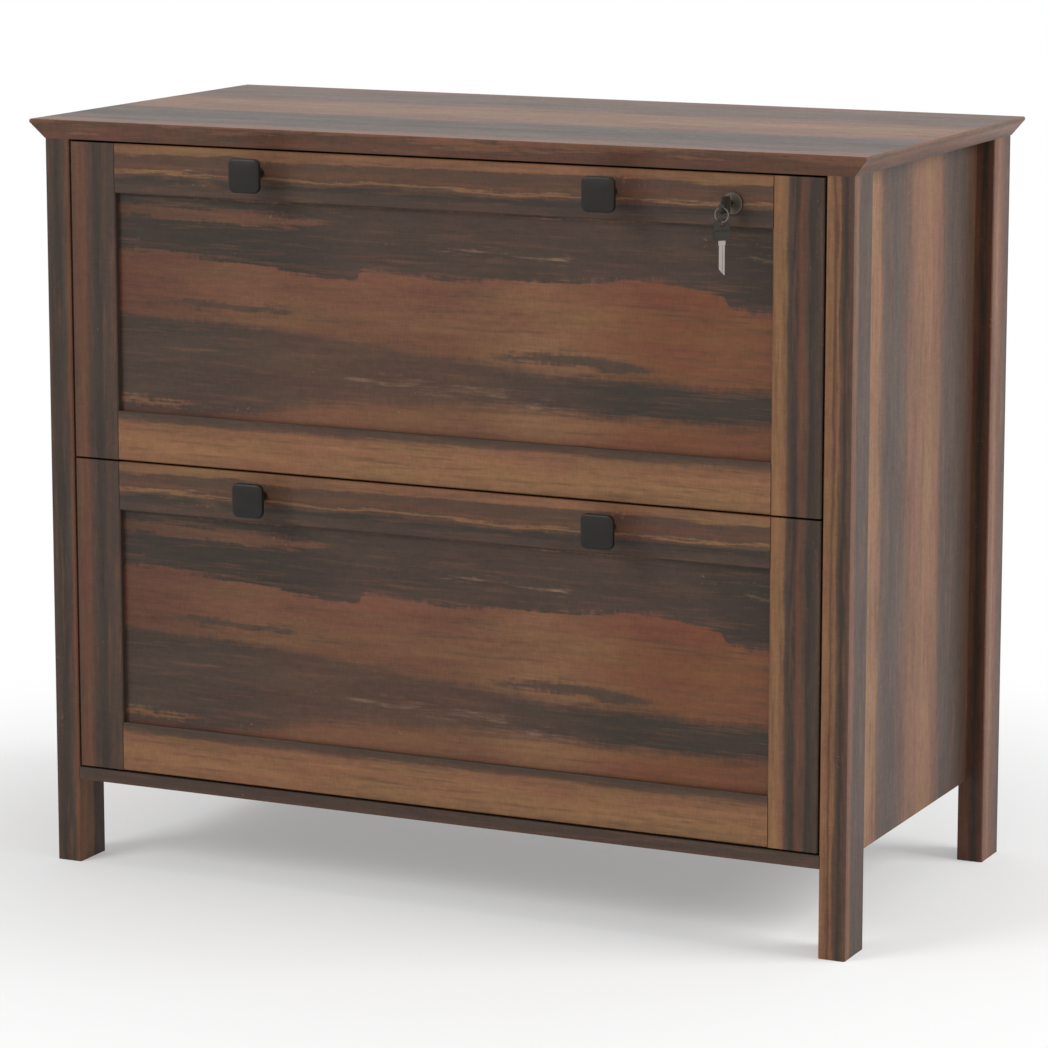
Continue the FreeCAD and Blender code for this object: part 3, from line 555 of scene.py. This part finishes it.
def panel_print(repeat):
    """Recessed panel: two dark runs over a warm brown ground, ragged at their edges."""
    made, tree = new_material("reclaimed-wood print foil on panel, satin")
    along, over, grain = print_space(tree, "X", "Z", repeat=repeat)
    over = wander(tree, over, grain, PANEL_SHIFT, PANEL_FRAY)
    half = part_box("lower_front_panel")[1].x - PANEL_TONGUE * MM
    u = add(tree, "ShaderNodeMapRange", {"Value": along, "From Min": -half,
                                         "From Max": half}).outputs[0]
    v = add(tree, "ShaderNodeMapRange", {"Value": over, "From Min": PANEL_TOP * MM,
                                         "From Max": PANEL_BOTTOM * MM}, clamp=False).outputs[0]
    base = add(tree, "ShaderNodeValToRGB", {"Fac": u})
    fill_ramp(base, PANEL_GROUND)
    ground = base.outputs[0]
    dashes = figure(tree, grain, along=30.0, across=3.4, shift=9.0, roughness=0.55)
    for run in PANEL_RUNS:
        ground = lay_run(tree, ground, u, v, dashes, **run)
    print_surface(tree, ground, grain, PANEL_SHIFT)
    return made


class CABINET_OT_drawer_fronts(bpy.types.Operator):
    """Give the stiles, rails and recessed panels their printed faces"""
    bl_idname = "cabinet.drawer_fronts"
    bl_label = "Drawer fronts"

    def execute(self, context):
        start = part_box("lower_stile_left")[0].z
        repeat = (start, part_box("upper_stile_left")[0].z - start)
        dress(panel_print(repeat), *on_both("front_panel"))
        for nodes, board in FRONT_PRINTS:
            dress(striped_board(repeat=repeat, **board), *nodes)
        return {"FINISHED"}


class CABINET_OT_drawer_boxes(bpy.types.Operator):
    """Give the drawer boxes and their folder bars their faces"""
    bl_idname = "cabinet.drawer_boxes"
    bl_label = "Drawer boxes"

    def execute(self, context):
        # Melamine-faced board: plain dark brown with a faint straight grain.
        board = plain_board("dark melamine board, matt", "lining", shift=43.0)
        for piece in ("side_left", "side_right", "back", "base"):
            dress(board, *on_both("box_" + piece))
        # Flat steel bar, zinc plated: pale grey with lines along its length.
        bar = plated("zinc-plated steel, rolled", "zinc", rough=0.34, contrast=0.8, along="X")
        dress(bar, *on_both("folder_bars"))
        return {"FINISHED"}


def new_piece(name, bm, material, body, stands_for):
    """Make a bmesh into a shaded piece that rides on a body."""
    data = bpy.data.meshes.new(name)
    bm.to_mesh(data)
    bm.free()
    for face in data.polygons:
        face.use_smooth = True
    data.set_sharp_from_angle(angle=SHARP)
    data.materials.append(material)
    made = bpy.data.objects.new(name, data)
    bpy.context.scene.collection.objects.link(made)
    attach(made, body)
    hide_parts(stands_for)


def solid_boxes(name):
    """Low and high corners of each separate solid of a CAD node."""
    bm = bmesh.new()
    bm.from_mesh(NODES[name].data)
    bmesh.ops.remove_doubles(bm, verts=bm.verts, dist=MERGE)
    left, boxes = set(bm.verts), []
    while left:
        reached, edge = set(), [left.pop()]
        while edge:
            vert = edge.pop()
            reached.add(vert)
            for link in vert.link_edges:
                other = link.other_vert(vert)
                if other in left:
                    left.discard(other)
                    edge.append(other)
        spots = [vert.co for vert in reached]
        boxes.append([Vector([pick(spot[i] for spot in spots) for i in range(3)])
                      for pick in (min, max)])
    bm.free()
    return boxes


def cage_mesh(sizes, boxes):
    """Ball cages: a thin strip in each box, with a row of balls seated through it."""
    bm = bmesh.new()
    for low, high in boxes:
        middle, span = (low + high) / 2, high - low
        thin = 0 if span.x < span.z else 2
        strip = span.copy()
        strip[thin] = sizes.cage_strip
        block = bmesh.ops.create_cube(bm, size=1.0)["verts"]
        bmesh.ops.scale(bm, vec=strip, verts=block)
        bmesh.ops.translate(bm, vec=middle, verts=block)
        radius = min(span.x, span.z) / 2
        count = int((span.y - 2 * radius) / sizes.ball_pitch) + 1
        for i in range(count):
            shift = Vector((0, (i - (count - 1) / 2) * sizes.ball_pitch, 0))
            bmesh.ops.create_uvsphere(bm, u_segments=12, v_segments=8, radius=radius,
                                      matrix=Matrix.Translation(middle + shift))
    bmesh.ops.recalc_face_normals(bm, faces=bm.faces)
    return bm


class CABINET_OT_slides(bpy.types.Operator):
    """Give the telescopic slides their metal and model their ball cages"""
    bl_idname = "cabinet.slides"
    bl_label = "Drawer slides"

    def execute(self, context):
        # Cold-rolled strip, zinc plated: pale grey metal with lines along its length.
        strip = plated("zinc-plated steel, roll formed", "zinc", rough=0.36, contrast=1.0, along="Y")
        # Pressed cage with polished balls: brighter than the channels.
        cage = plated("bright steel ball cage, pressed", "steel", rough=0.25, contrast=0.6, along="Y")
        for drawer in DRAWERS:
            dress(strip, *[drawer + "_slide_" + piece for piece in ("outers", "middles", "inners")])
            for place in ("outer", "inner"):
                node = drawer + "_" + place + "_ball_cages"
                bm = cage_mesh(context.scene.cabinet_sizes, solid_boxes(node))
                new_piece("seated_" + node, bm, cage, drawer + "_" + place + "_cages", node)
        return {"FINISHED"}


def knob_mesh(sizes, face, back, x, z):
    """Crowned square head with a rounded rim, on a turned and waisted stem."""
    bm = bmesh.new()
    width, depth = sizes.knob_width, sizes.knob_head - sizes.knob_crown
    bmesh.ops.create_cube(bm, size=1.0)
    bmesh.ops.scale(bm, vec=(width, depth, width), verts=bm.verts)
    bmesh.ops.translate(bm, vec=(x, face + sizes.knob_crown + depth / 2, z), verts=bm.verts)
    corners = [e for e in bm.edges if abs(e.verts[0].co.y - e.verts[1].co.y) > depth / 2]
    bmesh.ops.bevel(bm, geom=corners, offset=sizes.knob_corner, affect="EDGES",
                    segments=CORNER_SEGMENTS, profile=0.5, material=-1, clamp_overlap=True)
    for side, size in ((-1, sizes.knob_rim), (1, sizes.knob_back)):
        rim = {e for f in bm.faces if f.normal.y * side > 0.9 for e in f.edges}
        bmesh.ops.bevel(bm, geom=list(rim), offset=size, affect="EDGES", segments=RIM_SEGMENTS,
                        profile=0.5, material=-1, clamp_overlap=True)
    crown = max((f for f in bm.faces if f.normal.y < -0.9), key=lambda f: f.calc_area())
    centred = Matrix.Translation((-x, 0, -z))
    for shrink, rise in CROWN_STEPS:
        crown = bmesh.ops.extrude_discrete_faces(bm, faces=[crown])["faces"][0]
        bmesh.ops.scale(bm, vec=(shrink, 1, shrink), space=centred, verts=crown.verts)
        bmesh.ops.translate(bm, vec=(0, -sizes.knob_crown * rise, 0), verts=crown.verts)
    neck = face + sizes.knob_head
    span = back - neck
    foot, stem, flare = sizes.stem_foot, sizes.stem, sizes.stem_flare
    # The turned stem from foot to head: radius, and share of its length.
    turned = ((foot, 0.0), (foot, 0.05), (foot * 0.96, 0.07), (foot * 0.86, 0.08),
              (stem * 1.08, 0.1), (stem, 0.16), (stem, 0.7), (stem * 1.1, 0.82),
              (flare * 0.8, 0.93), (flare, 1.0))
    profile = [(0.0, back), *[(radius, back - share * span) for radius, share in turned],
               (flare * 0.9, neck - STEM_SINK), (0.0, neck - STEM_SINK)]
    line = [bm.verts.new((x + radius, y, z)) for radius, y in profile]
    edges = [bm.edges.new(pair) for pair in zip(line, line[1:])]
    bmesh.ops.spin(bm, geom=line + edges, cent=(x, 0, z), axis=(0, 1, 0), angle=2 * math.pi,
                   steps=STEM_SEGMENTS, use_merge=True)
    bmesh.ops.remove_doubles(bm, verts=bm.verts, dist=MERGE)
    bmesh.ops.recalc_face_normals(bm, faces=bm.faces)
    return bm


class CABINET_OT_knobs(bpy.types.Operator):
    """Model the four square knobs"""
    bl_idname = "cabinet.knobs"
    bl_label = "Knobs"

    def execute(self, context):
        # Turned screws, zinc plated: pale grey metal behind the rail.
        screw = plated("zinc-plated steel, turned", "zinc", rough=0.3, contrast=0.8, along="Y")
        dress(screw, *on_both("knob_screws"))
        # Zinc casting under a matt black coat: dark, with a soft edge light.
        coat = coated("zinc casting, matt black coat", "black", rough=0.42, grit=0.5)
        for drawer in DRAWERS:
            for side in SIDES:
                node = drawer + "_knob_" + side
                low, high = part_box(node)
                bm = knob_mesh(context.scene.cabinet_sizes, low.y, high.y, (low.x + high.x) / 2,
                               (low.z + high.z) / 2)
                new_piece("square_" + node, bm, coat, drawer + "_drawer", node)
        return {"FINISHED"}


class CABINET_OT_lock(bpy.types.Operator):
    """Give the drawer lock its metals"""
    bl_idname = "cabinet.lock"
    bl_label = "Lock"

    def execute(self, context):
        # Zinc casting plated black nickel: dark smoky metal.
        dark = plated("zinc casting, black nickel plate", "black_nickel", rough=0.42, contrast=0.8,
                      along="Y")
        dress(dark, "lock_body", "lock_plug")
        # Stamped steel, zinc plated: pale grey metal inside the cabinet.
        strip = plated("zinc-plated steel, stamped", "zinc", rough=0.34, contrast=0.8, along="X")
        dress(strip, "lock_nut", "lock_cam", "lock_cam_screw", "lock_strike", "strike_screws")
        return {"FINISHED"}


def soften(node, size):
    """Round a CAD node's edges, as a mould does."""
    weld = node.modifiers.new("weld", "WELD")
    weld.merge_threshold = 0.01 * MM
    bevel = node.modifiers.new("edge", "BEVEL")
    bevel.width = size
    bevel.segments = 3
    bevel.limit_method = "ANGLE"
    bevel.angle_limit = SHARP
    bevel.use_clamp_overlap = True


def split_ring_mesh(sizes, low, high):
    """Two turns of flat wire that lie on each other, open at both ends."""
    bm = bmesh.new()
    middle, thick = (low + high) / 2, high.y - low.y
    outer = (high.x - low.x) / 2
    inner = outer - sizes.ring_wire
    wire = thick / RING_LAYERS
    ease = 0.12 * sizes.ring_wire
    outline = [(inner + ease, 0), (outer - ease, 0), (outer, ease), (outer, wire - ease),
               (outer - ease, wire), (inner + ease, wire), (inner, wire - ease), (inner, ease)]
    section = bm.faces.new([bm.verts.new((middle.x + r, low.y + y, middle.z)) for r, y in outline])
    bmesh.ops.spin(bm, geom=[section, *section.edges, *section.verts], cent=middle, axis=(0, 1, 0),
                   dvec=(0, (thick - wire) / RING_STEPS, 0), angle=RING_TURNS * 2 * math.pi,
                   steps=RING_STEPS)
    bmesh.ops.remove_doubles(bm, verts=bm.verts, dist=RING_MERGE)
    bmesh.ops.recalc_face_normals(bm, faces=bm.faces)
    return bm


class CABINET_OT_keys(bpy.types.Operator):
    """Finish the two keys and model their split ring"""
    bl_idname = "cabinet.keys"
    bl_label = "Keys and ring"

    def execute(self, context):
        # Polished steel blades, nickel plated: the brightest metal at the front.
        bright = plated("nickel-plated steel, polished", "nickel", rough=0.2, contrast=0.6, along="Z")
        dress(bright, "key_blade", "spare_key_blade")
        # Rolled spring wire, nickel plated: darker and duller than the blades.
        wire = plated("nickel-plated spring wire, rolled", "wire", rough=0.3, contrast=0.6, along="Z")
        bm = split_ring_mesh(context.scene.cabinet_sizes, *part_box("key_ring"))
        new_piece("split_key_ring", bm, wire, "key_ring", "key_ring")
        # Bows moulded in black ABS: near black with rounded edges.
        moulded = coated("black ABS, moulded", "bow", rough=0.38, grit=0.4)
        for name in ("key_bow", "spare_key_bow"):
            dress(moulded, name)
            soften(NODES[name], context.scene.cabinet_sizes.bow_edge)
        return {"FINISHED"}


def seen_rays(tree):
    """The light path, and 1 for rays that come from the camera or from a reflection."""
    path = add(tree, "ShaderNodeLightPath").outputs
    seen = add(tree, "ShaderNodeMath", {0: path["Is Camera Ray"], 1: path["Is Glossy Ray"]},
               operation="MAXIMUM")
    return path, seen.outputs[0]


def studio_paper():
    """White paper that takes the cabinet's shadow and fades to plain white around it."""
    # Matt white paper: a faint mottle, and no edge between floor and background.
    made, tree = new_material("white studio paper, matt")
    place = add(tree, "ShaderNodeTexCoord").outputs["Object"]
    mottle = add(tree, "ShaderNodeTexNoise", {"Vector": place, "Scale": 1 / (FLOOR_MOTTLE * MM)})
    tone = add(tree, "ShaderNodeMapRange", {"Value": mottle.outputs[0], "To Min": 0.995,
                                            "To Max": 1.005})
    shade = add(tree, "ShaderNodeHueSaturation", {"Value": tone.outputs[0], "Color": dye("floor")})
    matt = add(tree, "ShaderNodeBsdfDiffuse", {"Color": shade.outputs[0]})
    white = add(tree, "ShaderNodeEmission", {"Color": (1, 1, 1, 1), "Strength": 1.0})
    reach = add(tree, "ShaderNodeVectorMath", {0: place}, operation="LENGTH")
    far = add(tree, "ShaderNodeMapRange", {"Value": reach.outputs["Value"], "From Min": 0.42,
                                           "From Max": 1.0, "To Min": 0.3},
              interpolation_type="SMOOTHSTEP")
    share = add(tree, "ShaderNodeMath", {0: far.outputs[0], 1: seen_rays(tree)[1]},
                operation="MULTIPLY")
    faded = add(tree, "ShaderNodeMixShader", {0: share.outputs[0], 1: matt.outputs[0],
                                              2: white.outputs[0]})
    add(tree, "ShaderNodeOutputMaterial", {"Surface": faded.outputs[0]})
    return made


def lay_floor(scene):
    """A wide round floor under the feet."""
    bm = bmesh.new()
    bmesh.ops.create_circle(bm, cap_ends=True, segments=64, radius=FLOOR_RADIUS)
    data = bpy.data.meshes.new("studio_floor")
    bm.to_mesh(data)
    bm.free()
    floor = bpy.data.objects.new("studio_floor", data)
    scene.collection.objects.link(floor)
    data.materials.append(studio_paper())


def light_world(scene):
    """Surroundings that look white and light the cabinet more softly."""
    world = bpy.data.worlds.new("soft studio")
    scene.world = world
    world.use_nodes = True
    tree = world.node_tree
    tree.nodes.clear()
    path, seen = seen_rays(tree)
    clear = add(tree, "ShaderNodeMath", {0: seen, 1: path["Is Transmission Ray"]},
                operation="MAXIMUM")
    level = add(tree, "ShaderNodeMapRange", {"Value": clear.outputs[0], "To Min": 0.52,
                                             "To Max": 1.0})
    sky = add(tree, "ShaderNodeBackground", {"Color": (1, 1, 1, 1), "Strength": level.outputs[0]})
    add(tree, "ShaderNodeOutputWorld", {"Surface": sky.outputs[0]})


def hang_lamps(scene):
    """Two square soft boxes, aimed at the middle of the cabinet."""
    for name, spot, size, power, mirrored in LAMPS:
        lamp = bpy.data.lights.new(name, "AREA")
        lamp.shape = "SQUARE"
        lamp.size = size
        lamp.energy = power
        made = bpy.data.objects.new(name, lamp)
        made.location = spot
        made.visible_glossy = mirrored
        made.rotation_euler = (LAMP_AIM - Vector(spot)).to_track_quat("-Z", "Y").to_euler()
        scene.collection.objects.link(made)


def set_camera(scene):
    """A long lens from the right of the front, a little above the top."""
    lens = bpy.data.cameras.new("camera")
    lens.sensor_width = 36.0
    lens.lens = 145.27
    lens.shift_y = -0.08
    lens.clip_end = 100.0
    camera = bpy.data.objects.new("camera", lens)
    camera.location = CAMERA_PLACE
    camera.rotation_euler = (math.radians(90 - CAMERA_DIP), 0.0, math.radians(CAMERA_TURN))
    scene.collection.objects.link(camera)
    scene.camera = camera


class CABINET_OT_stage(bpy.types.Operator):
    """Set up the floor, soft light, pale surroundings and camera"""
    bl_idname = "cabinet.stage"
    bl_label = "Studio stage"

    def execute(self, context):
        for prepare in (lay_floor, light_world, hang_lamps, set_camera):
            prepare(context.scene)
        context.scene.view_settings.view_transform = "Standard"
        return {"FINISHED"}


OPERATORS = (CABINET_OT_carcass, CABINET_OT_drawer_fronts, CABINET_OT_drawer_boxes,
             CABINET_OT_slides, CABINET_OT_knobs, CABINET_OT_lock, CABINET_OT_keys,
             CABINET_OT_stage)


class CABINET_PT_sidebar(bpy.types.Panel):
    """Sidebar list of the cabinet's pieces, sizes and colours"""
    bl_idname = "CABINET_PT_sidebar"
    bl_label = "File cabinet"
    bl_space_type = "VIEW_3D"
    bl_region_type = "UI"
    bl_category = "Cabinet"

    def draw(self, context):
        for operator in OPERATORS:
            self.layout.operator(operator.bl_idname)
        for group in (context.scene.cabinet_sizes, context.scene.cabinet_colours):
            column = self.layout.column()
            for name in group.__annotations__:
                column.prop(group, name)


CLASSES = (CabinetSizes, CabinetColours, *OPERATORS, CABINET_PT_sidebar)


def register():
    for cls in CLASSES:
        bpy.utils.register_class(cls)
    bpy.types.Scene.cabinet_sizes = bpy.props.PointerProperty(type=CabinetSizes)
    bpy.types.Scene.cabinet_colours = bpy.props.PointerProperty(type=CabinetColours)


def unregister():
    del bpy.types.Scene.cabinet_colours
    del bpy.types.Scene.cabinet_sizes
    for cls in reversed(CLASSES):
        bpy.utils.unregister_class(cls)


def main():
    register()
    bpy.ops.cabinet.carcass()
    bpy.ops.cabinet.drawer_fronts()
    bpy.ops.cabinet.drawer_boxes()
    bpy.ops.cabinet.slides()
    bpy.ops.cabinet.knobs()
    bpy.ops.cabinet.lock()
    bpy.ops.cabinet.keys()
    bpy.ops.cabinet.stage()


if __name__ == "__main__":
    main()
